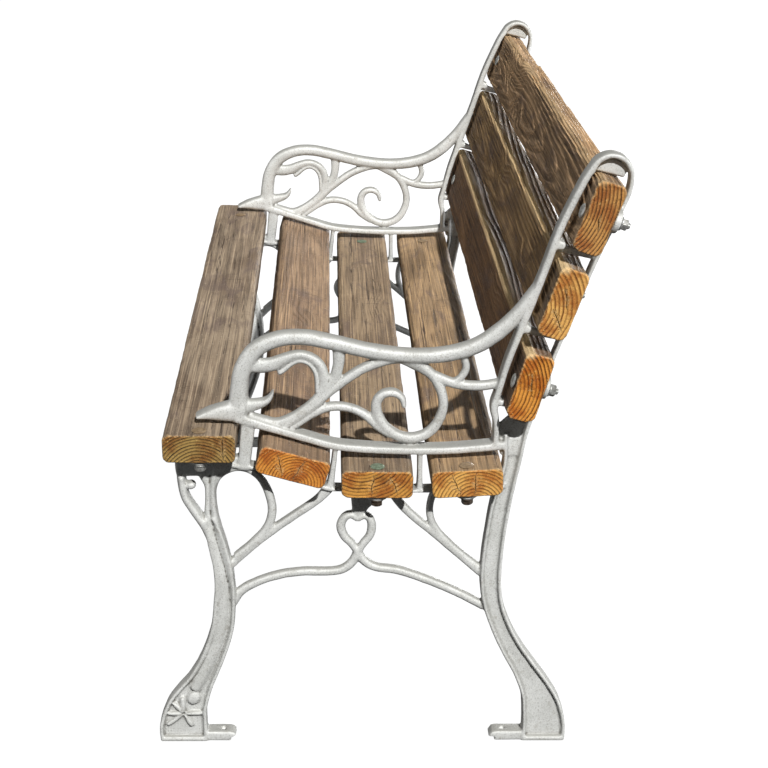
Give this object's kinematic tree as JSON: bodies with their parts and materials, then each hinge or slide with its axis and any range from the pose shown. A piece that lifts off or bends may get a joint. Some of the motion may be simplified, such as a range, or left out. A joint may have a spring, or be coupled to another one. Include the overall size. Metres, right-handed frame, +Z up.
{
  "type": "garden bench",
  "caption": "Slatted timber garden bench with ornate cast metal end frames, scrolled arm rests and a raked back, every slat bolted through an ear of the casting.",
  "frame": {"origin": "on the floor, under the middle of the bench's bounding box", "axes": "+Z up, X along the bench's length, the sitter faces -Y"},
  "size_m": [1, 0.5784, 0.824],
  "materials": {
    "casting": "weathered bare sand casting, satin",
    "timber": "weathered, worn varnish, honey-coloured end grain",
    "fasteners": "dull zinc plate"
  },
  "bodies": {
    "root": {"end_frame_right": "casting", "end_frame_left": "casting", "seat_slat_1_front": "timber", "seat_slat_2": "timber", "seat_slat_3": "timber", "seat_slat_4_rear": "timber", "back_slat_bottom": "timber", "back_slat_middle": "timber", "back_slat_top": "timber", "bolt_seat_1_front_right": "fasteners", "washer_seat_1_front_right": "fasteners", "nut_seat_1_front_right": "fasteners", "bolt_seat_1_front_left": "fasteners", "washer_seat_1_front_left": "fasteners", "nut_seat_1_front_left": "fasteners", "bolt_seat_2_right": "fasteners", "washer_seat_2_right": "fasteners", "nut_seat_2_right": "fasteners", "bolt_seat_2_left": "fasteners", "washer_seat_2_left": "fasteners", "nut_seat_2_left": "fasteners", "bolt_seat_3_right": "fasteners", "washer_seat_3_right": "fasteners", "nut_seat_3_right": "fasteners", "bolt_seat_3_left": "fasteners", "washer_seat_3_left": "fasteners", "nut_seat_3_left": "fasteners", "bolt_seat_4_rear_right": "fasteners", "washer_seat_4_rear_right": "fasteners", "nut_seat_4_rear_right": "fasteners", "bolt_seat_4_rear_left": "fasteners", "washer_seat_4_rear_left": "fasteners", "nut_seat_4_rear_left": "fasteners", "bolt_back_bottom_right": "fasteners", "washer_back_bottom_right": "fasteners", "nut_back_bottom_right": "fasteners", "bolt_back_bottom_left": "fasteners", "washer_back_bottom_left": "fasteners", "nut_back_bottom_left": "fasteners", "bolt_back_middle_right": "fasteners", "washer_back_middle_right": "fasteners", "nut_back_middle_right": "fasteners", "bolt_back_middle_left": "fasteners", "washer_back_middle_left": "fasteners", "nut_back_middle_left": "fasteners", "bolt_back_top_right": "fasteners", "washer_back_top_right": "fasteners", "nut_back_top_right": "fasteners", "bolt_back_top_left": "fasteners", "washer_back_top_left": "fasteners", "nut_back_top_left": "fasteners"}
  },
  "joints": []
}
